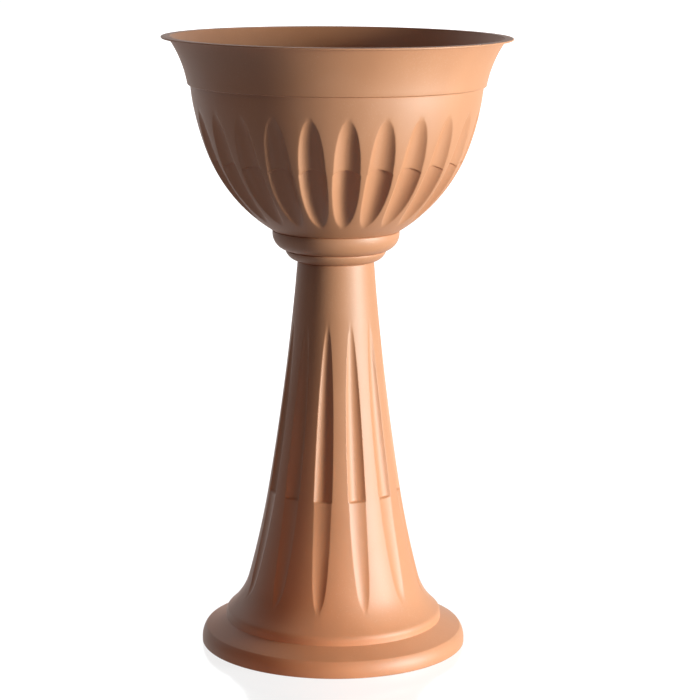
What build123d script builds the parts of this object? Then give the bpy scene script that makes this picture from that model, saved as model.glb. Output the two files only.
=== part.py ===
from build123d import *
import math
import os

# Pedestal planter: a fluted bowl on a fluted hollow column, both moulded in plastic with
# thin even walls, and a plug for the bowl's drain hole.
# +Z is up and the origin is the middle of the foot, on the ground.

# Driving dimensions
height = 800.0  # ground to the top of the rim
rim_radius = 225.5
foot_radius = 174.4
seat_z = 511.2  # top of the column's shoulder, which carries the bowl
bowl_wall = 2.8
column_wall = 3.0
seat_gap = 0.3  # between the bowl's underside and the shoulder
bowl_flutes = 24
column_flutes = 12
front = -90.0  # direction of the front, in degrees about the axis
bowl_flute_turn = 4.4  # from the front to the nearest flute of the bowl
column_flute_turn = 20.3  # from the front to the nearest flute of the column

# Bowl, from its underside up
bowl_base_z = seat_z + seat_gap
neck_radius = 52.0
neck_round = 0.8
bead_radius = 65.2
bead_z = bowl_base_z + 13.5
bead_curve = 19.5
bead_edge = 2.0  # the bead's upright edge
bead_step = 1.5
bead_round = 1.2
collar_radius = 82.6
collar_z = bowl_base_z + 39.2
collar_edge = 5.0  # the collar's upright edge
collar_step = 1.3
collar_round = 1.0
ovolo_curve = 22.7  # between the bead and the collar
body_radius = 188.3
body_z = height - 62.0  # the body ends at the plain band under the rim
band_radius = body_radius + 3.5
band_z = body_z + 1.0
band_round = 1.0
belly_top = (169.2, 656.3)  # where the tight lower curve meets the flatter upper one
belly_curve = 207.7
flare_radius = 215.8  # the wall's outside where it meets the lip
flare_lean = 10.0  # degrees outward at the foot of the band
lip_thickness = 2.4
lip_round = 1.0
mouth_round = 3.0  # under the lip
inner_round = 1.5

# Flutes of the bowl: an upper and a lower groove that meet at a ledge
bowl_ledge_z = 640.0
bowl_flute_top = 703.0  # heights of the middles of the grooves' round ends
bowl_flute_bottom = 576.0
bowl_flute_half_width = 16.5
bowl_flute_depth_above = 6.8
bowl_flute_depth_below = 7.7

# Socket under the bowl, spigot on the column
socket_radius = 40.4
socket_depth = 22.5
spigot_clearance = 0.4
spigot_height = 20.0
spigot_wall = 2.8
spigot_chamfer = 1.2
socket_chamfer = 1.0
drain_radius = 7.0

# Column, from its shoulder down
shoulder_radius = 49.7
shoulder_round = 1.6
waist = (86.6, 209.0)  # here the column begins to flare
column_ledge_z = 207.5  # ledge between the upper and lower grooves of each flute
trunk_curve = 3826.0
skirt_curve = 1242.0
flare_start = (113.1, 86.0)
flare_curve = 84.0
flare_end = (139.5, 44.6)
roll_top = (142.4, 39.2)  # the small roll at the top of the foot
roll_foot = (142.4, 35.4)
roll_round = 1.0
ring_shoulder = (168.8, 21.0)
ring_edge_z = 5.0
ring_round = 3.0
foot_round = 0.8
column_flute_top = 428.0  # heights of the middles of the grooves' round ends
column_flute_bottom = 81.0
column_flute_half_width = 12.4
column_flute_depth_above = 4.5
column_flute_depth_below = 2.3
flute_end_depth = 1.0
ledge_edge = 0.5  # a groove's two halves differ in half width by this where they meet

# Drain plug
plug_clearance = 0.05
plug_flange_radius = 11.5
plug_flange_thickness = 2.6
plug_dome_curve = 15.0
plug_length = 9.0
plug_grip_radius = 4.0
plug_grip_height = 7.0
plug_grip_round = 1.5
plug_foot_round = 1.0  # where the grip meets the dome
plug_chamfer = 1.0

os.makedirs("parts", exist_ok=True)


def inset(edge, at, depth):
    # A point depth inside the wall: outlines run up the outside, so inside is on the left
    along = edge % at
    return (edge @ at) + Vector(-along.Y, along.X) * depth


def inner_arc(edge, depth):
    # The arc that lies depth inside an outline's arc, running back down
    return TangentArc(inset(edge, 1, depth), inset(edge, 0, depth), tangent=(edge % 1) * -1)


def at_height(edge, z):
    # How far along an outline's edge, from 0 to 1, it passes height z
    low, high = 0.0, 1.0
    for _ in range(40):
        middle = (low + high) / 2
        if (edge @ middle).Y < z:
            low = middle
        else:
            high = middle
    return low


def groove_radius(half_width, depth):
    # Radius of a round groove, from half its width and its depth under its edges
    return (half_width**2 + depth**2) / (2 * depth)


def outward(heading):
    # The direction square to a heading in the outline's plane that points away from the axis
    return Vector(heading.Y, -heading.X) * math.copysign(1, heading.Y)


def groove_tube(start, heading, end, radius):
    # A bent tube in the XZ plane: its middle line is an arc that leaves start along heading and
    # stops at end. It overruns start by one radius and has a round end
    bend = Edge.make_tangent_arc(start, heading, end)
    turn = math.copysign(1, ((bend @ 0) - bend.arc_center).cross(bend % 0).Z)
    axis = Axis(bend.arc_center, (0, 0, turn))
    spare = math.degrees(radius / bend.radius)
    reach = math.degrees(bend.length / bend.radius) + spare
    with BuildPart(mode=Mode.PRIVATE) as tube:
        with BuildSketch(Plane(origin=bend @ 0, x_dir=outward(bend % 0), z_dir=bend % 0)):
            Circle(radius)
        revolve(axis=axis, revolution_arc=reach)
    cap = Plane(origin=bend @ 1, x_dir=outward(bend % 1), z_dir=bend % 1)
    return Plane.XZ * (tube.part.rotate(axis, -spare) + cap * Sphere(radius, 0, align=None))


def half_groove(size, ledge_on, end_on, way, ledge, wall):
    # The tool that cuts one half of a flute. size is half its width and its depth at the ledge,
    # ledge_on the outline's edge there and how far along it, and end_on the edge that carries its
    # round end and that end's height. way is 1 going up and -1 going down. With a wall the tool
    # is thicker by that, for the bulge inside the wall
    half_width, depth = size
    edge, at = ledge_on
    end_edge, end_z = end_on
    radius = groove_radius(half_width, depth)
    crown = half_width**2 / (2 * (edge @ at).X)
    start = inset(edge, at, depth + crown - radius)
    end = inset(end_edge, at_height(end_edge, end_z), flute_end_depth - radius)
    tube = groove_tube(start, (edge % at) * way, end, radius + wall)
    return tube.split(ledge, keep=Keep.TOP if way > 0 else Keep.BOTTOM)


def bowl_groove(belly, flank, wall):
    # The two tools of one flute of the bowl
    ledge = Plane.XY.offset(bowl_ledge_z + wall)
    ledge_on = (belly, at_height(belly, bowl_ledge_z))
    above = (bowl_flute_half_width, bowl_flute_depth_above)
    below = (bowl_flute_half_width + ledge_edge, bowl_flute_depth_below)
    return [
        half_groove(above, ledge_on, (flank, bowl_flute_top), 1, ledge, wall),
        half_groove(below, ledge_on, (belly, bowl_flute_bottom), -1, ledge, wall),
    ]


def column_groove(trunk, skirt, flare, wall):
    # The two tools of one flute of the column
    ledge = Plane.XY.offset(column_ledge_z - wall)
    above = (column_flute_half_width, column_flute_depth_above)
    below = (column_flute_half_width - ledge_edge, column_flute_depth_below)
    return [
        half_groove(above, (trunk, 0), (trunk, column_flute_top), 1, ledge, wall),
        half_groove(below, (skirt, 1), (flare, column_flute_bottom), -1, ledge, wall),
    ]


# Bowl: its outer form, solid
with BuildPart() as bowl_form:
    with BuildSketch(Plane.XZ) as bowl_section:
        with BuildLine():
            underside = Line((0, bowl_base_z), (neck_radius, bowl_base_z))
            bead = RadiusArc(underside @ 1, (bead_radius, bead_z - bead_edge), -bead_curve)
            bead_top = Line(bead @ 1, (bead_radius, bead_z))
            bead_ledge = Line(bead_top @ 1, (bead_radius - bead_step, bead_z))
            ovolo = RadiusArc(bead_ledge @ 1, (collar_radius, collar_z - collar_edge), -ovolo_curve)
            collar = Line(ovolo @ 1, (collar_radius, collar_z))
            collar_ledge = Line(collar @ 1, (collar_radius - collar_step, collar_z))
            belly = RadiusArc(collar_ledge @ 1, belly_top, -belly_curve)
            flank = TangentArc(belly @ 1, (body_radius, body_z), tangent=belly % 1)
            band_edge = Line(flank @ 1, (band_radius, band_z))
            lean = (math.sin(math.radians(flare_lean)), math.cos(math.radians(flare_lean)))
            mouth = (flare_radius, height - lip_thickness)
            band = TangentArc(band_edge @ 1, mouth, tangent=lean)
            lip = Polyline(band @ 1, (rim_radius, height - lip_thickness), (rim_radius, height))
            Polyline(lip @ 1, (0, height), (0, bowl_base_z))
        make_face()
        for corner, radius in (
            ((neck_radius, bowl_base_z), neck_round),
            ((bead_radius, bead_z), bead_round),
            ((collar_radius, collar_z), collar_round),
            ((body_radius, body_z), band_round),
            ((band_radius, band_z), band_round),
            (mouth, mouth_round),
            ((rim_radius, height - lip_thickness), lip_round),
            ((rim_radius, height), lip_round),
        ):
            fillet(bowl_section.vertices().sort_by_distance(corner)[0], radius)
    revolve()
    for tool in bowl_groove(belly, flank, 0):
        with PolarLocations(0, bowl_flutes, start_angle=front + bowl_flute_turn):
            add(tool, mode=Mode.SUBTRACT)

# Bowl: the room inside its wall, with a bulge behind each flute and a raised middle
boss_radius = socket_radius + bowl_wall
boss_z = bowl_base_z + socket_depth + bowl_wall
with BuildPart() as bowl_room:
    with BuildSketch(Plane.XZ) as room_section:
        with BuildLine():
            throat_foot = inset(band, 1, bowl_wall)
            brim = Line((0, height + 1), (throat_foot.X, height + 1))
            throat = Line(brim @ 1, throat_foot)
            inner_band = inner_arc(band, bowl_wall)
            shelf = Line(inner_band @ 1, inset(flank, 1, bowl_wall))
            inner_flank = inner_arc(flank, bowl_wall)
            inner_belly = inner_arc(belly, bowl_wall)
            sill = Line(inner_belly @ 1, inset(ovolo, 1, bowl_wall))
            inner_ovolo = inner_arc(ovolo, bowl_wall)
            step = Line(inner_ovolo @ 1, inset(bead, 1, bowl_wall))
            inner_bead = inner_arc(bead, bowl_wall)
            gutter = Line(inner_bead @ 1, (boss_radius, bowl_base_z + bowl_wall))
            Polyline(gutter @ 1, (boss_radius, boss_z), (0, boss_z), (0, height + 1))
        make_face()
        for corner in (throat @ 1, inner_band @ 1, inner_belly @ 1, inner_ovolo @ 1):
            fillet(room_section.vertices().sort_by_distance(corner)[0], inner_round)
        fillet(room_section.vertices().sort_by_distance((boss_radius, boss_z))[0], inner_round)
    revolve()
    for tool in bowl_groove(belly, flank, bowl_wall):
        with PolarLocations(0, bowl_flutes, start_angle=front + bowl_flute_turn):
            add(tool, mode=Mode.SUBTRACT)

# Bowl: the shell, with the socket for the column's spigot and the drain hole over it
with BuildPart() as bowl:
    add(bowl_form.part)
    add(bowl_room.part, mode=Mode.SUBTRACT)
    with BuildSketch(Plane.XY.offset(bowl_base_z)):
        Circle(socket_radius)
    extrude(amount=socket_depth, mode=Mode.SUBTRACT)
    with BuildSketch(Plane.XY.offset(bowl_base_z)):
        Circle(drain_radius)
    extrude(amount=boss_z - bowl_base_z + 1, mode=Mode.SUBTRACT)
    socket_mouth = bowl.edges().filter_by(GeomType.CIRCLE).filter_by(
        lambda edge: abs(edge.radius - socket_radius) < 0.01
    )
    chamfer(socket_mouth.sort_by(Axis.Z)[0], socket_chamfer)
bowl.part.label = "bowl"
export_step(bowl.part, "parts/bowl.step")

# Column: its outer form, solid, from the foot up
with BuildPart() as column_form:
    with BuildSketch(Plane.XZ) as column_section:
        with BuildLine():
            sole = Line((0, 0), (foot_radius, 0))
            foot = Line(sole @ 1, (foot_radius, ring_edge_z))
            ring = TangentArc(foot @ 1, ring_shoulder, tangent=(0, 1))
            ring_slope = Line(ring @ 1, roll_foot)
            roll_edge = Line(ring_slope @ 1, roll_top)
            roll = TangentArc(roll_edge @ 1, flare_end, tangent=(0, 1))
            flare = RadiusArc(roll @ 1, flare_start, flare_curve)
            skirt = RadiusArc(flare @ 1, waist, skirt_curve)
            trunk = RadiusArc(skirt @ 1, (shoulder_radius, seat_z), trunk_curve)
            Polyline(trunk @ 1, (0, seat_z), (0, 0))
        make_face()
        for corner, radius in (
            ((foot_radius, 0), foot_round),
            (ring_shoulder, ring_round),
            (roll_foot, roll_round),
            ((shoulder_radius, seat_z), shoulder_round),
        ):
            fillet(column_section.vertices().sort_by_distance(corner)[0], radius)
    revolve()
    for tool in column_groove(trunk, skirt, flare, 0):
        with PolarLocations(0, column_flutes, start_angle=front + column_flute_turn):
            add(tool, mode=Mode.SUBTRACT)

# Column: the room inside its wall, open at the ground
spigot_radius = socket_radius - spigot_clearance
bore_radius = spigot_radius - spigot_wall
with BuildPart() as column_room:
    with BuildSketch(Plane.XZ) as hollow_section:
        with BuildLine():
            hem = Line((foot_radius - column_wall, -1), inset(foot, 1, column_wall))
            Line((0, -1), hem @ 0)
            inner_ring = TangentArc(hem @ 1, inset(ring_slope, 0, column_wall), tangent=(0, 1))
            inner_slope = Line(inner_ring @ 1, inset(ring_slope, 1, column_wall))
            inner_roll = Line(inner_slope @ 1, inset(flare, 0, column_wall))
            flare_top = inset(flare, 1, column_wall)
            inner_flare = RadiusArc(inner_roll @ 1, flare_top, flare_curve + column_wall)
            skirt_top = inset(skirt, 1, column_wall)
            inner_skirt = RadiusArc(inner_flare @ 1, skirt_top, skirt_curve + column_wall)
            ceiling = inset(trunk, 1, column_wall) - Vector(0, column_wall)
            RadiusArc(inner_skirt @ 1, ceiling, trunk_curve + column_wall)
            Polyline(ceiling, (0, ceiling.Y), (0, -1))
        make_face()
        fillet(hollow_section.vertices().sort_by_distance(ceiling)[0], inner_round)
    revolve()
    for tool in column_groove(trunk, skirt, flare, column_wall):
        with PolarLocations(0, column_flutes, start_angle=front + column_flute_turn):
            add(tool, mode=Mode.SUBTRACT)

# Column: the shell, with the spigot standing on its shoulder
with BuildPart() as column:
    add(column_form.part)
    add(column_room.part, mode=Mode.SUBTRACT)
    with BuildSketch(Plane.XY.offset(seat_z - column_wall)):
        Circle(spigot_radius)
    extrude(amount=column_wall + spigot_height)
    chamfer(column.edges().filter_by(GeomType.CIRCLE).sort_by(Axis.Z)[-1], spigot_chamfer)
    with BuildSketch(Plane.XY.offset(seat_z - 2 * column_wall)):
        Circle(bore_radius)
    extrude(amount=2 * column_wall + spigot_height + 1, mode=Mode.SUBTRACT)
column.part.label = "column"
export_step(column.part, "parts/column.step")

# Drain plug: a stem in the drain hole, a flange on the bowl's raised floor and a grip
plug_seat_z = boss_z + plug_clearance
plug_radius = drain_radius - plug_clearance
grip_top = plug_seat_z + plug_grip_height
flange_z = plug_seat_z + plug_flange_thickness
with BuildPart() as plug:
    with BuildSketch(Plane.XZ) as plug_section:
        with BuildLine():
            stem = Line((0, plug_seat_z - plug_length), (plug_radius, plug_seat_z - plug_length))
            flange = Polyline(stem @ 1, (plug_radius, plug_seat_z), (plug_flange_radius, plug_seat_z))
            dome = RadiusArc(flange @ 1, (plug_grip_radius, flange_z), -plug_dome_curve)
            Polyline(dome @ 1, (plug_grip_radius, grip_top), (0, grip_top), stem @ 0)
        make_face()
        grip_edge = (plug_grip_radius, grip_top)
        fillet(plug_section.vertices().sort_by_distance(grip_edge)[0], plug_grip_round)
        fillet(plug_section.vertices().sort_by_distance(dome @ 1)[0], plug_foot_round)
        chamfer(plug_section.vertices().sort_by_distance(stem @ 1)[0], plug_chamfer)
    revolve()
plug.part.label = "drain_plug"
export_step(plug.part, "parts/drain_plug.step")
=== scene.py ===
import math

import bpy
from mathutils import Euler, Matrix, Vector


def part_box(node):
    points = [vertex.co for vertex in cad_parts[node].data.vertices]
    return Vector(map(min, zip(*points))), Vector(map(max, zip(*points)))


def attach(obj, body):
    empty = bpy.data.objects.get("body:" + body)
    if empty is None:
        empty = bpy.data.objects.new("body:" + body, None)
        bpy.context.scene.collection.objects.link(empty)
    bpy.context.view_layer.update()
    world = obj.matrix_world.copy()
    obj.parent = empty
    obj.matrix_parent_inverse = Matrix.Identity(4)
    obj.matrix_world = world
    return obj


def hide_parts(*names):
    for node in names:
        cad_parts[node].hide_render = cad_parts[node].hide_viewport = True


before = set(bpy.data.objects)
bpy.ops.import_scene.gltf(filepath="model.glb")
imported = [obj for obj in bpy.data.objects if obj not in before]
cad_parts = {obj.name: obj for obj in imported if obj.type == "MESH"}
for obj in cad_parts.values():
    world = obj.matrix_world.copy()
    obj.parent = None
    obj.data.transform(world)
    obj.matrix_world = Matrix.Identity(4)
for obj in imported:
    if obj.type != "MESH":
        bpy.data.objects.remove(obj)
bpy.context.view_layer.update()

mm = 0.001
front = math.radians(-90)  # the planter's front faces -Y
weld = 0.01 * mm
smoothAngle = math.radians(50)
bowlLow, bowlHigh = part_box("bowl")
columnLow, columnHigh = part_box("column")
plugLow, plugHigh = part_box("drain_plug")


def deselectAll():
    if bpy.context.object and bpy.context.object.mode != "OBJECT":
        bpy.ops.object.mode_set(mode="OBJECT")
    bpy.ops.object.select_all(action="DESELECT")


def smoothStep(low, high, value):
    share = min(max((value - low) / (high - low), 0.0), 1.0)
    return share * share * (3 - 2 * share)


# A section is a closed list of rows. Its way has the plastic on the left, so it goes up the outside
# and down the inside. A plain row is a point with the radius that rounds it there. A row of a fluted
# stretch also has its normal and its place, the distance up from the flutes' ledge.

def point(r, z, rounding=0.0):
    return {"r": r, "z": z, "rounding": rounding}


def spot(row):
    return Vector((row["r"], row["z"]))


def curve(start, end, radius):
    # an arc between two points; it bulges outwards with a radius over 0, and inwards under 0
    start, end = Vector(start), Vector(end)
    chord = end - start
    side = Vector((chord.y, -chord.x)).normalized()
    back = math.copysign(math.sqrt(radius**2 - (chord.length / 2) ** 2), radius)
    centre = (start + end) / 2 - side * back
    turn = math.copysign(2 * math.asin(chord.length / 2 / abs(radius)), radius)
    return {"centre": centre, "arm": start - centre, "radius": radius, "turn": turn,
            "length": abs(turn * radius)}


def curveFrom(start, end, heading):
    # an arc that leaves its start along a heading
    chord = Vector(end) - Vector(start)
    turn = math.atan2(chord.y, chord.x) - math.atan2(heading[1], heading[0])
    return curve(start, end, chord.length / (2 * math.sin(turn)))


def curveRow(arc, distance, wall=0.0):
    # a row on an arc, or wall deeper in the plastic, where the room inside begins
    arm = Matrix.Rotation(arc["turn"] * distance / arc["length"], 2) @ arc["arm"]
    outward = arm.normalized() * math.copysign(1, arc["radius"])
    here = arc["centre"] + arm - outward * wall
    return {"r": here.x, "z": here.y, "rounding": 0.0, "outward": outward}


def headingAt(arc, distance):
    outward = curveRow(arc, distance)["outward"]
    return (-outward.y, outward.x)


def chainRow(arcs, distance, wall=0.0):
    for arc in arcs[:-1]:
        if distance <= arc["length"]:
            return curveRow(arc, distance, wall)
        distance -= arc["length"]
    return curveRow(arcs[-1], distance, wall)


def chainLength(arcs):
    return sum(arc["length"] for arc in arcs)


def distanceAt(arcs, z):
    # how far along its arcs an outline passes a height, found by halving
    halvings = 40
    low, high = 0.0, chainLength(arcs)
    for _ in range(halvings):
        middle = (low + high) / 2
        low, high = (middle, high) if chainRow(arcs, middle)["z"] < z else (low, middle)
    return low


def plainRows(arcs, step, wall=0.0):
    # the rows between the ends of some arcs; with a wall they run back down the inside
    count = max(3, math.ceil(chainLength(arcs) / step))
    rows = [chainRow(arcs, chainLength(arcs) * i / count, wall) for i in range(1, count)]
    for row in rows:
        del row["outward"]
    return rows[::-1] if wall else rows


ledgeGaps = (-3.5, -1.5, -0.8, -0.3, 0.3, 0.8, 1.5, 3.5)  # in radii of the ledge's rounding


def flutedRows(arcs, flute, step, wall=0.0):
    # rows of a fluted stretch: close together at the ledge, evenly spaced elsewhere
    start = distanceAt(arcs, flute["ledge"])
    ledge = start + flute["ledgeRise"] * wall
    near = [ledge + gap * flute["ledgeRound"] for gap in ledgeGaps]
    count = math.ceil(chainLength(arcs) / step)
    far = [chainLength(arcs) * i / count for i in range(1, count)]
    far = [d for d in far if d < near[0] - step / 3 or d > near[-1] + step / 3]
    rows = []
    for distance in sorted(near + far):
        row = chainRow(arcs, distance, wall)
        row.update(place=distance - start, wall=wall, arcs=arcs, distance=distance)
        rows.append(row)
    return rows[::-1] if wall else rows


def insideOf(arc, distance, wall, rounding=0.0):
    # the end of an inner arc, as a plain point
    row = curveRow(arc, distance, wall)
    return point(row["r"], row["z"], rounding)


corner = {"steps": 4, "sharedReach": 0.45, "freeReach": 0.85}  # reaches are shares of a side


def roundCorners(section):
    # rounds each point that has a radius with a short arc of rows
    rows = []
    for i, row in enumerate(section):
        if not row["rounding"]:
            rows.append(row)
            continue
        before, after = section[i - 1], section[(i + 1) % len(section)]
        here = spot(row)
        back, on = spot(before) - here, spot(after) - here
        half = back.angle(on) / 2
        reach = min(row["rounding"] / math.tan(half),
                    back.length * corner["sharedReach" if before["rounding"] else "freeReach"],
                    on.length * corner["sharedReach" if after["rounding"] else "freeReach"])
        first, last = back.normalized() * reach, on.normalized() * reach
        middle = (first + last).normalized() * reach / math.cos(half)
        sweep = (first - middle).angle_signed(last - middle)
        for k in range(corner["steps"] + 1):
            arm = Matrix.Rotation(-sweep * k / corner["steps"], 2) @ (first - middle)
            rows.append(point(*(here + middle + arm)))
    return rows


def fluteMiddle(flute, side, place):
    # the depth of a flute's middle line and the radius of its round hollow, which both get smaller
    # towards its end
    half = flute[side]
    reach = abs(place) / half["length"]
    depth = half["depth"] * (1 - min(reach, 1.2) ** half["fullness"])
    gouge = half["gouge"] + (half["endGouge"] - half["gouge"]) * min(reach, 1.0) ** half["narrowing"]
    return depth, max(gouge, 1.05 * depth)


def fluteDepth(flute, side, place, x, radius, wall):
    # how deep one half of a flute is under the plain surface, x aside from its middle line, with
    # slightly softened edges
    depth, gouge = fluteMiddle(flute, side, place)
    gouge += wall
    if abs(x) > 0.98 * gouge:
        return 0.0
    cut = depth - x * x / (2 * radius) - gouge + math.sqrt(gouge * gouge - x * x)
    return (cut + math.sqrt(cut * cut + flute["soft"] ** 2)) / 2


def fluteHalfWidth(flute, place, radius):
    depth, gouge = fluteMiddle(flute, "above" if place > 0 else "below", place)
    width = 0.0
    for _ in range(4):
        rise = max(depth - width * width / (2 * radius), 0.0)
        width = math.sqrt(max(gouge * gouge - (gouge - rise) ** 2, 0.0))
    return width


def sidePlaces(flute, row, halfPitch):
    # sideways places from a flute's middle line to the middle of the land beside it: close together
    # along the flute's edge, and evenly spaced beyond its ends
    steps = flute["steps"]
    even = [halfPitch * i / (steps + 5) for i in range(steps + 6)]
    if "place" not in row:
        return even
    edge = flute["edge"]
    width = min(max(fluteHalfWidth(flute, row["place"], row["r"]), 5 * edge), halfPitch - 4 * edge)
    hollow = [(width - edge) * math.sin(math.pi / 2 * i / steps) for i in range(steps)]
    land = width + 2.5 * edge
    tight = hollow + [width - edge, width, width + edge, land, (land + halfPitch) / 2, halfPitch]
    past = max(row["place"] - flute["above"]["length"], -row["place"] - flute["below"]["length"])
    ease = smoothStep(0, flute["ease"], past)
    return [a + (b - a) * ease for a, b in zip(tight, even)]


def flutedPoint(flute, row, x, ledgeWidth):
    # a point of a fluted stretch; near the ledge the rows bend up into an arch between the edges
    wall = row["wall"]
    past = row["place"] - flute["ledgeRise"] * wall
    across = max(1 - (x / ledgeWidth) ** 2, 0.0)
    lift = flute["arch"] * across * (1 - smoothStep(0, flute["archReach"], abs(past)))
    place = row["place"] + lift
    bent = chainRow(row["arcs"], row["distance"] + lift, wall)
    above = smoothStep(-flute["ledgeRound"], flute["ledgeRound"], past)
    depth = above * fluteDepth(flute, "above", place, x, row["r"], wall) if above else 0.0
    depth += (1 - above) * fluteDepth(flute, "below", place, x, row["r"], wall) if above < 1 else 0.0
    return bent["r"] - bent["outward"].x * depth, bent["z"] - bent["outward"].y * depth


def flutedShell(name, rows, flute):
    # one sector is a grid laid round the section; it is then spun into the whole closed shell
    rows = rows + rows[:1]
    deselectAll()
    columns = 2 * (flute["steps"] + 5)
    bpy.ops.mesh.primitive_grid_add(x_subdivisions=columns, y_subdivisions=len(rows) - 1, size=0.1)
    piece = bpy.context.object
    piece.name = name
    piece.data.name = name
    middleLine = front + math.radians(flute["turn"])
    ledgeWidth = max(fluteHalfWidth(flute, beside, flute["ledgeRadius"]) for beside in (1e-6, -1e-6))
    for i, row in enumerate(rows):
        right = sidePlaces(flute, row, math.pi / flute["count"] * row["r"])
        for j, x in enumerate([-x for x in right[:0:-1]] + right):
            r, z = row["r"], row["z"]
            if "place" in row:
                r, z = flutedPoint(flute, row, x, ledgeWidth)
            angle = middleLine + x / row["r"]
            piece.data.vertices[i * (columns + 1) + j].co = (r * math.cos(angle), r * math.sin(angle), z)
    bpy.ops.object.mode_set(mode="EDIT")
    bpy.ops.mesh.select_all(action="SELECT")
    bpy.ops.mesh.spin(steps=flute["count"] - 1, dupli=True, center=(0, 0, 0), axis=(0, 0, 1),
                      angle=2 * math.pi * (1 - 1 / flute["count"]))
    bpy.ops.mesh.select_all(action="SELECT")
    bpy.ops.mesh.remove_doubles(threshold=weld)
    bpy.ops.mesh.normals_make_consistent(inside=False)
    bpy.ops.object.mode_set(mode="OBJECT")
    piece.matrix_world = Matrix.Identity(4)
    bpy.ops.object.shade_smooth_by_angle(angle=smoothAngle)
    print(name, "has", sum(len(face.vertices) - 2 for face in piece.data.polygons), "triangles")
    return piece


# Bowl
bowl = {
    "wall": 0.0028,
    "neck": 0.052,  # radius of the underside's flat
    "neckRound": 0.0008,
    "beadRadius": 0.0652, "beadTop": 0.0135, "beadEdge": 0.002, "beadStep": 0.0015,
    "beadCurve": 0.0195, "beadRound": 0.0012,
    "collarRadius": 0.0826, "collarTop": 0.0392, "collarEdge": 0.005, "collarStep": 0.0013,
    "ovoloCurve": 0.0227, "collarRound": 0.001,
    "bellyTop": (0.1692, 0.1448), "bellyCurve": 0.2077,  # heights are above the underside
    "bodyRadius": 0.1883, "bodyDrop": 0.062,  # drops are below the top of the rim
    "bandStep": 0.0035, "bandDrop": 0.061, "bandRound": 0.001, "bandLean": math.radians(10),
    "mouth": 0.2158, "mouthRound": 0.003, "lip": 0.0024, "lipRound": 0.001,
    "innerRound": 0.0015,
    "socketRadius": 0.0404, "socketDepth": 0.0225, "socketChamfer": 0.001,
    "drain": 0.007, "drainRound": 0.0005,
    "rowStep": 0.0042, "innerStep": 0.0075, "bandStretch": 1.4,  # the band's rows are wider apart
}
bowlFlute = {
    "count": 24, "turn": 4.5, "steps": 4,
    "ledge": bowlHigh[2] - 0.160, "ledgeRadius": 0.1637, "ledgeRise": 1, "ledgeRound": 0.0009,
    "arch": 0.003, "archReach": 0.030,
    "above": {"depth": 0.0081, "length": 0.0735, "fullness": 2.9,
              "gouge": 0.0222, "endGouge": 0.0140, "narrowing": 2.0},
    "below": {"depth": 0.0108, "length": 0.0920, "fullness": 2.4,
              "gouge": 0.0198, "endGouge": 0.0130, "narrowing": 2.0},
    "edge": 0.0007, "soft": 0.0006, "ease": 0.014,
}


def makeBowl():
    base, top, wall = bowlLow[2], bowlHigh[2], bowl["wall"]
    beadTop, collarTop = base + bowl["beadTop"], base + bowl["collarTop"]
    neck = (bowl["neck"], base)
    beadFoot = (bowl["beadRadius"], beadTop - bowl["beadEdge"])
    bead = curve(neck, beadFoot, bowl["beadCurve"])
    ovoloFoot = (bowl["beadRadius"] - bowl["beadStep"], beadTop)
    ovoloTop = (bowl["collarRadius"], collarTop - bowl["collarEdge"])
    ovolo = curve(ovoloFoot, ovoloTop, bowl["ovoloCurve"])
    bellyFoot = (bowl["collarRadius"] - bowl["collarStep"], collarTop)
    bellyTop = (bowl["bellyTop"][0], base + bowl["bellyTop"][1])
    belly = curve(bellyFoot, bellyTop, bowl["bellyCurve"])
    bodyTop = (bowl["bodyRadius"], top - bowl["bodyDrop"])
    flank = curveFrom(bellyTop, bodyTop, headingAt(belly, belly["length"]))
    bandFoot = (bowl["bodyRadius"] + bowl["bandStep"], top - bowl["bandDrop"])
    mouth = (bowl["mouth"], top - bowl["lip"])
    lean = (math.sin(bowl["bandLean"]), math.cos(bowl["bandLean"]))
    band = curveFrom(bandFoot, mouth, lean)
    boss = bowl["socketRadius"] + wall
    bossTop = base + bowl["socketDepth"] + wall
    soft = bowl["innerRound"]
    throat = insideOf(band, band["length"], wall, soft)
    step, innerStep = bowl["rowStep"], bowl["innerStep"]
    bandStep = bowl["bandStretch"] * step
    section = [
        point(bowl["drain"], bossTop, bowl["drainRound"]),
        point(bowl["drain"], bossTop - wall, bowl["drainRound"]),
        point(bowl["socketRadius"] / 2, bossTop - wall),
        point(bowl["socketRadius"], bossTop - wall),
        point(bowl["socketRadius"], base + bowl["socketChamfer"]),
        point(bowl["socketRadius"] + bowl["socketChamfer"], base),
        point(*neck, bowl["neckRound"]),
        *plainRows([bead], step),
        point(*beadFoot),
        point(bowl["beadRadius"], beadTop, bowl["beadRound"]),
        point(*ovoloFoot),
        *plainRows([ovolo], step),
        point(*ovoloTop),
        point(bowl["collarRadius"], collarTop, bowl["collarRound"]),
        point(*bellyFoot),
        *flutedRows([belly, flank], bowlFlute, step),
        point(*bodyTop, bowl["bandRound"]),
        point(*bandFoot, bowl["bandRound"]),
        *plainRows([band], bandStep),
        point(*mouth, bowl["mouthRound"]),
        point(bowlHigh[0], top - bowl["lip"], bowl["lipRound"]),
        point(bowlHigh[0], top, bowl["lipRound"]),
        point(throat["r"], top, bowl["lipRound"]),
        throat,
        *plainRows([band], bandStep, wall),
        insideOf(band, 0, wall, soft),
        insideOf(flank, flank["length"], wall),
        *flutedRows([belly, flank], bowlFlute, innerStep, wall),
        insideOf(belly, 0, wall, soft),
        insideOf(ovolo, ovolo["length"], wall),
        *plainRows([ovolo], innerStep, wall),
        insideOf(ovolo, 0, wall, soft),
        insideOf(bead, bead["length"], wall),
        *plainRows([bead], innerStep, wall),
        insideOf(bead, 0, wall),
        point(boss, base + wall, soft),
        point(boss, bossTop, soft),
        point(boss / 2, bossTop),
    ]
    return flutedShell("planter_bowl", roundCorners(section), bowlFlute)


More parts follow.
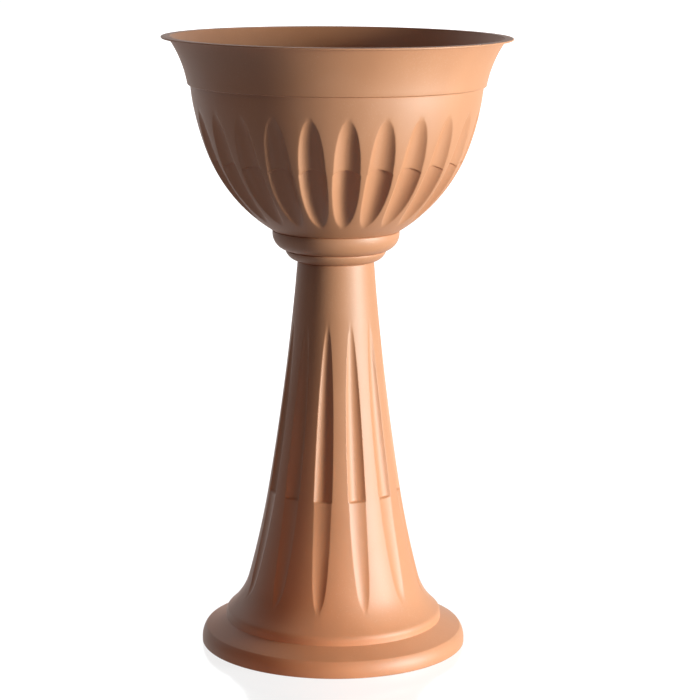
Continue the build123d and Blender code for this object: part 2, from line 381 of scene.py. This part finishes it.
# Column
column = {
    "wall": 0.003,
    "shoulder": 0.0497, "shoulderRound": 0.0016, "spigotHeight": 0.020,
    "spigotRadius": 0.040, "spigotWall": 0.0028, "spigotChamfer": 0.0012,
    "waist": (0.0866, 0.209), "trunkCurve": 3.826, "skirtCurve": 1.242,
    "flareTop": (0.1131, 0.086), "flareFoot": (0.1385, 0.0465), "flareCurve": 0.084,
    "rollTop": (0.1424, 0.0385), "rollFoot": (0.1424, 0.0330), "rollRound": 0.001,
    "ringShoulder": (0.1688, 0.021), "ringRound": 0.003, "ringEdge": 0.005, "footRound": 0.0008,
    "innerRound": 0.0015, "mouthRound": 0.0004, "ceilingGap": 0.003,
    "rowStep": 0.0045, "innerStep": 0.006, "ringStep": 0.004, "innerRingStep": 0.003, "rollStep": 0.0015,
}
columnFlute = {
    "count": 12, "turn": 20.3, "steps": 6,
    "ledge": 0.2075, "ledgeRadius": 0.0866, "ledgeRise": -1, "ledgeRound": 0.0016,
    "arch": 0.0, "archReach": 0.02,
    "above": {"depth": 0.0056, "length": 0.228, "fullness": 3.2,
              "gouge": 0.0175, "endGouge": 0.0060, "narrowing": 1.6},
    "below": {"depth": 0.0023, "length": 0.143, "fullness": 9.0,
              "gouge": 0.0420, "endGouge": 0.0130, "narrowing": 1.7},
    "edge": 0.0005, "soft": 0.0002, "ease": 0.018,
}


def makeColumn():
    base, wall = columnLow[2], column["wall"]
    seat = columnHigh[2] - column["spigotHeight"]
    foot = columnHigh[0]
    ring = curveFrom((foot, base + column["ringEdge"]), column["ringShoulder"], (0, 1))
    roll = curveFrom(column["rollTop"], column["flareFoot"], (0, 1))
    flare = curve(column["flareFoot"], column["flareTop"], -column["flareCurve"])
    skirt = curve(column["flareTop"], column["waist"], -column["skirtCurve"])
    trunk = curve(column["waist"], (column["shoulder"], seat), -column["trunkCurve"])
    bore = column["spigotRadius"] - column["spigotWall"]
    ceiling = insideOf(trunk, trunk["length"], wall)
    slope = (Vector(column["rollFoot"]) - Vector(column["ringShoulder"])).normalized()
    inward = Vector((-slope.y, slope.x)) * wall
    slopeTop, slopeFoot = Vector(column["rollFoot"]) + inward, Vector(column["ringShoulder"]) + inward
    innerRing = curveFrom((foot - wall, base + column["ringEdge"]), slopeFoot, (0, 1))
    section = [
        point(foot - wall, base),
        point(foot, base, column["footRound"]),
        point(foot, base + column["ringEdge"]),
        *plainRows([ring], column["ringStep"]),
        point(*column["ringShoulder"], column["ringRound"]),
        point(*column["rollFoot"], column["rollRound"]),
        point(*column["rollTop"]),
        *plainRows([roll], column["rollStep"]),
        point(*column["flareFoot"]),
        *flutedRows([flare, skirt, trunk], columnFlute, column["rowStep"]),
        point(column["shoulder"], seat, column["shoulderRound"]),
        point(column["spigotRadius"], seat),
        point(column["spigotRadius"], columnHigh[2] - column["spigotChamfer"]),
        point(column["spigotRadius"] - column["spigotChamfer"], columnHigh[2]),
        point(bore, columnHigh[2], column["mouthRound"]),
        point(bore, seat - wall, column["mouthRound"]),
        point(ceiling["r"], ceiling["z"] - wall, column["innerRound"]),
        *[row for row in flutedRows([flare, skirt, trunk], columnFlute, column["innerStep"], wall)
          if row["z"] < ceiling["z"] - wall - column["ceilingGap"]],
        insideOf(flare, 0, wall),
        point(*slopeTop),
        point(*slopeFoot),
        *plainRows([innerRing], column["innerRingStep"])[::-1],
        point(foot - wall, base + column["ringEdge"]),
    ]
    return flutedShell("planter_column", roundCorners(section), columnFlute)


# Drain plug
plug = {
    "sides": 72, "stemRadius": 0.00695, "stemLength": 0.009, "stemChamfer": 0.001,
    "edge": 0.0005,  # upright edge of the flange
    "domeRings": ((0.0105, 0.0010), (0.0090, 0.0017), (0.0072, 0.0023), (0.0056, 0.0026)),
    "gripFoot": 0.0048, "gripFootRise": 0.0002, "gripRadius": 0.004, "gripRadiusRise": 0.0008,
    "gripRim": 0.0012, "gripDish": 0.0006, "dishTaper": 0.8,
    "bevel": 0.00024, "bevelSegments": 3, "bevelAngle": math.radians(38),
}


def selectByHeight(piece, low, high):
    # in edit mode: the faces whose middles lie between two heights and face up or down
    steep = 0.9
    bpy.ops.mesh.select_all(action="DESELECT")
    bpy.ops.object.mode_set(mode="OBJECT")
    for face in piece.data.polygons:
        face.select = low <= face.center.z <= high and abs(face.normal.z) > steep
    bpy.ops.object.mode_set(mode="EDIT")


def extrudeBy(rise):
    bpy.ops.mesh.extrude_region_move(TRANSFORM_OT_translate={"value": (0, 0, rise)})


def scaleRing(radius, newRadius):
    share = newRadius / radius
    bpy.ops.transform.resize(value=(share, share, 1), center_override=(0, 0, 0))


def makePlug():
    seat = plugLow[2] + plug["stemLength"]
    flange = plugHigh[0]
    deselectAll()
    bpy.ops.mesh.primitive_cylinder_add(vertices=plug["sides"], radius=flange, depth=plug["edge"],
                                        location=(0, 0, seat + plug["edge"] / 2))
    piece = bpy.context.object
    piece.name = "planter_plug"
    piece.data.name = "planter_plug"
    bpy.ops.object.transform_apply(location=True, rotation=True, scale=True)
    bpy.ops.object.mode_set(mode="EDIT")
    selectByHeight(piece, seat + plug["edge"] / 2, plugHigh[2])  # the dome and the grip
    radius, height = flange, plug["edge"]
    for ring, rise in plug["domeRings"]:
        extrudeBy(rise - height)
        scaleRing(radius, ring)
        radius, height = ring, rise
    extrudeBy(plug["gripFootRise"])
    scaleRing(radius, plug["gripFoot"])
    extrudeBy(plug["gripRadiusRise"])
    scaleRing(plug["gripFoot"], plug["gripRadius"])
    extrudeBy(plugHigh[2] - seat - height - plug["gripFootRise"] - plug["gripRadiusRise"])
    bpy.ops.mesh.inset(thickness=plug["gripRim"])
    extrudeBy(-plug["gripDish"])
    scaleRing(1, plug["dishTaper"])
    selectByHeight(piece, seat - weld, seat + weld)  # the stem
    bpy.ops.mesh.inset(thickness=flange - plug["stemRadius"])
    extrudeBy(plug["stemChamfer"] - plug["stemLength"])
    extrudeBy(-plug["stemChamfer"])
    scaleRing(plug["stemRadius"], plug["stemRadius"] - plug["stemChamfer"])
    bpy.ops.mesh.select_all(action="SELECT")
    bpy.ops.mesh.remove_doubles(threshold=weld)
    bpy.ops.mesh.normals_make_consistent(inside=False)
    bpy.ops.object.mode_set(mode="OBJECT")
    bevel = piece.modifiers.new("edges", "BEVEL")
    bevel.width = plug["bevel"]
    bevel.segments = plug["bevelSegments"]
    bevel.limit_method = "ANGLE"
    bevel.angle_limit = plug["bevelAngle"]
    bpy.ops.object.modifier_apply(modifier=bevel.name)
    bpy.ops.object.shade_smooth_by_angle(angle=smoothAngle)
    print("planter_plug has", len(piece.data.polygons), "faces")
    return piece


# Finishes
class Signal:
    # a node's output that can be used in sums
    def __init__(self, finish, socket):
        self.finish = finish
        self.socket = socket

    def sum(self, operation, *values):
        return self.finish.node("ShaderNodeMath", {"operation": operation}, dict(enumerate(values)))

    def __add__(self, other):
        return self.sum("ADD", self, other)

    def __sub__(self, other):
        return self.sum("SUBTRACT", self, other)

    def __rsub__(self, other):
        return self.sum("SUBTRACT", other, self)

    def __mul__(self, other):
        return self.sum("MULTIPLY", self, other)

    __radd__ = __add__
    __rmul__ = __mul__


class Finish:
    def __init__(self, name):
        self.material = bpy.data.materials.new(name)
        self.material.use_nodes = True
        self.tree = self.material.node_tree
        self.shader = self.tree.nodes["Principled BSDF"]

    def node(self, kind, settings, sockets, output=0):
        # settings go first, then the values or links of the sockets
        made = self.tree.nodes.new(kind)
        for key, value in settings.items():
            setattr(made, key, value)
        for key, value in sockets.items():
            self.feed(made.inputs[key], value)
        return Signal(self, made.outputs[output])

    def feed(self, socket, value):
        if isinstance(value, Signal):
            self.tree.links.new(value.socket, socket)
        else:
            socket.default_value = value

    def noise(self, at, scale, detail, roughness, stretch=(1, 1, 1)):
        placed = self.node("ShaderNodeVectorMath", {"operation": "MULTIPLY"}, {0: at, 1: stretch})
        return self.node("ShaderNodeTexNoise", {},
                         {"Vector": placed, "Scale": scale, "Detail": detail, "Roughness": roughness})

    def mixColour(self, share, first, second):
        # sockets 6 and 7 take the colours, and output 2 gives the mixed one
        return self.node("ShaderNodeMix", {"data_type": "RGBA"},
                         {0: share, 6: first, 7: second}, output=2)

    def share(self, value, span, high=1.0):
        # rises from 0 to high while the value passes the span
        return self.node("ShaderNodeMapRange", {"clamp": True},
                         {0: value, 1: span[0], 2: span[1], 3: 0.0, 4: high})


surface = {
    "cloudDetail": (4.0, 0.55), "streakDetail": (3.0, 0.5),
    "speckDetail": (2.0, 0.6), "grainDetail": (2.0, 0.6),
    "streakStretch": (1, 1, 0.12), "cloudShare": 0.6, "toneSpan": (0.34, 0.66),
    "speckSpan": (0.86, 1.0), "speckCloud": 0.5, "edgeSpan": (0.54, 0.62), "edgeSpeck": 0.04,
    "scuffRough": 0.2, "speckRough": 0.06,
    "grainHeight": 0.2 * mm, "speckHeight": 0.6, "waveHeight": 2 * mm,
}


def moulded(name, look):
    # moulded plastic: cloudy tone, fine grain, pale specks and faint scuffs on raised edges
    finish = Finish(name)
    at = finish.node("ShaderNodeTexCoord", {}, {}, output=3)
    cloud = finish.noise(at, look["cloudScale"], *surface["cloudDetail"])
    streak = finish.noise(at, look["streakScale"], *surface["streakDetail"],
                          stretch=surface["streakStretch"])
    speck = finish.noise(at, look["speckScale"], *surface["speckDetail"])
    grain = finish.noise(at, look["grainScale"], *surface["grainDetail"])
    blend = cloud * surface["cloudShare"] + streak * (1 - surface["cloudShare"])
    tone = finish.share(blend, surface["toneSpan"])
    colour = finish.mixColour(tone, look["deep"], look["pale"])
    pale = finish.share(speck + cloud * surface["speckCloud"], surface["speckSpan"], look["speckle"])
    colour = finish.mixColour(pale, colour, look["speckColour"])
    edge = finish.node("ShaderNodeNewGeometry", {}, {}, output=7)  # pointiness
    scuff = finish.share(edge + speck * surface["edgeSpeck"], surface["edgeSpan"], look["scuff"])
    colour = finish.mixColour(scuff, colour, look["scuffColour"])
    finish.feed(finish.shader.inputs["Base Color"], colour)
    rough = look["roughness"] + (tone - 0.5) * look["roughVary"]
    rough = rough + scuff * surface["scuffRough"] + (speck - 0.5) * surface["speckRough"]
    finish.feed(finish.shader.inputs["Roughness"], rough)
    fine = finish.node("ShaderNodeBump", {}, {
        "Strength": look["grain"], "Distance": surface["grainHeight"],
        "Height": grain + speck * surface["speckHeight"]})
    wavy = finish.node("ShaderNodeBump", {}, {
        "Strength": look["wave"], "Distance": surface["waveHeight"],
        "Height": streak + cloud, "Normal": fine})
    finish.feed(finish.shader.inputs["Normal"], wavy)
    finish.shader.inputs["IOR"].default_value = look["ior"]
    return finish.material


terracotta = {
    "deep": (0.470, 0.180, 0.082, 1), "pale": (0.525, 0.206, 0.096, 1),
    "cloudScale": 7.0, "streakScale": 22.0, "speckScale": 420.0, "grainScale": 1500.0,
    "speckle": 0.22, "speckColour": (0.58, 0.30, 0.18, 1),
    "scuff": 0.35, "scuffColour": (0.62, 0.33, 0.20, 1),
    "roughness": 0.52, "roughVary": 0.08, "grain": 0.25, "wave": 0.06, "ior": 1.54,
}
plugPlastic = {
    "deep": (0.060, 0.032, 0.022, 1), "pale": (0.085, 0.046, 0.032, 1),
    "cloudScale": 40.0, "streakScale": 120.0, "speckScale": 900.0, "grainScale": 2500.0,
    "speckle": 0.15, "speckColour": (0.12, 0.08, 0.06, 1),
    "scuff": 0.3, "scuffColour": (0.16, 0.11, 0.09, 1),
    "roughness": 0.55, "roughVary": 0.08, "grain": 0.3, "wave": 0.04, "ior": 1.5,
}

bowlPiece = makeBowl()
columnPiece = makeColumn()
plugPiece = makePlug()
finishes = {"terracotta_plastic": moulded("satin_terracotta", terracotta),
            "plug_plastic": moulded("soft_dark_plug", plugPlastic)}
for piece, body, slot in (
    (bowlPiece, "bowl", "terracotta_plastic"),
    (columnPiece, "column", "terracotta_plastic"),
    (plugPiece, "drain_plug", "plug_plastic"),
):
    piece.data.materials.clear()
    piece.data.materials.append(finishes[slot])
    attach(piece, body)
    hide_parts(body)  # each body holds one CAD node of the same name
print("planter finished")


# Studio
paper = {
    "size": 60.0, "drop": -0.2 * mm, "backdropAt": (0, 14, 0),
    "colour": (0.12, 0.12, 0.12, 1), "cloudColour": (0.1176, 0.1176, 0.1176, 1),
    "floorGlow": 0.82, "backdropGlow": 1.0, "floorRoughness": 0.10,
    "cloudScale": 1.5, "cloudDetail": (2.0, 0.5),
}
world = {"colour": (1.0, 0.92, 0.84, 1), "strength": 0.052}
lights = {
    "key": {"at": (3.35, -1.55, 0.74), "aim": (0, 0, 0.5), "size": (1.1, 1.2), "spread": math.pi,
            "power": 292.0, "colour": (0.82, 1.0, 1.01), "glossy": True},
    "top": {"at": (-1.0, -1.0, 2.4), "aim": (0, 0, 0.5), "size": (0.8, 0.8), "spread": math.pi,
            "power": 4.0, "colour": (1.0, 0.9, 0.85), "glossy": True},
    "low": {"at": (0.2, -0.8, 0.04), "aim": (0, 0, 0), "size": (0.5, 0.06), "spread": math.radians(60),
            "power": 0.22, "colour": (1.0, 0.45, 0.18), "glossy": True},
    "back": {"at": (0.0, 3.0, 0.7), "aim": (0, 0, 0.5), "size": (1.0, 1.0), "spread": math.pi,
             "power": 55.0, "colour": (1.0, 0.97, 0.94), "glossy": False},
}
camera = {"at": (0.0, -3.1421, 0.9966), "tilt": 10.89, "pan": -0.354, "roll": 0.47,
          "lens": 125.69, "sensor": 36.0, "far": 100.0}


def makePaper(name, at, turn, finish, glow):
    # a glowing sheet that throws no light on the planter
    deselectAll()
    bpy.ops.mesh.primitive_plane_add(size=paper["size"], location=at)
    sheet = bpy.context.object
    sheet.name = name
    sheet.rotation_euler = (turn, 0, 0)
    finish.shader.inputs["Emission Color"].default_value = (1, 1, 1, 1)
    finish.shader.inputs["Emission Strength"].default_value = glow
    sheet.data.materials.append(finish.material)
    sheet.visible_diffuse = False
    return sheet


def makeFloor():
    finish = Finish("floor_paper")
    at = finish.node("ShaderNodeTexCoord", {}, {}, output=3)
    cloud = finish.noise(at, paper["cloudScale"], *paper["cloudDetail"])
    finish.feed(finish.shader.inputs["Base Color"],
                finish.mixColour(cloud, paper["colour"], paper["cloudColour"]))
    finish.shader.inputs["Roughness"].default_value = paper["floorRoughness"]
    makePaper("floor", (0, 0, paper["drop"]), 0.0, finish, paper["floorGlow"])


def makeBackdrop():
    finish = Finish("backdrop_paper")
    finish.shader.inputs["Base Color"].default_value = paper["colour"]
    wall = makePaper("backdrop", paper["backdropAt"], math.radians(90), finish, paper["backdropGlow"])
    wall.visible_shadow = False


def makeLight(name, look):
    deselectAll()
    bpy.ops.object.light_add(type="AREA", location=look["at"])
    light = bpy.context.object
    light.name = name
    light.data.shape = "RECTANGLE"
    light.data.size, light.data.size_y = look["size"]
    light.data.energy = look["power"]
    light.data.color = look["colour"]
    light.data.spread = look["spread"]
    light.visible_glossy = look["glossy"]
    light.visible_camera = False
    light.rotation_euler = (Vector(look["aim"]) - Vector(look["at"])).to_track_quat("-Z", "Y").to_euler()


def makeCamera():
    deselectAll()
    bpy.ops.object.camera_add(location=camera["at"])
    made = bpy.context.object
    made.name = "camera"
    made.data.lens = camera["lens"]
    made.data.sensor_width = camera["sensor"]
    made.data.clip_end = camera["far"]
    turned = Euler((math.radians(90 - camera["tilt"]), 0, math.radians(camera["pan"]))).to_matrix()
    rolled = turned @ Matrix.Rotation(math.radians(camera["roll"]), 3, "Z")
    made.rotation_euler = rolled.to_euler()
    bpy.context.scene.camera = made


def makeWorld():
    made = bpy.data.worlds.new("studio")
    made.use_nodes = True
    background = made.node_tree.nodes["Background"]
    background.inputs["Color"].default_value = world["colour"]
    background.inputs["Strength"].default_value = world["strength"]
    bpy.context.scene.world = made


makeFloor()
makeBackdrop()
for name, look in lights.items():
    makeLight(name, look)
makeWorld()
bpy.context.scene.view_settings.view_transform = "Standard"
makeCamera()
deselectAll()
print("studio ready")
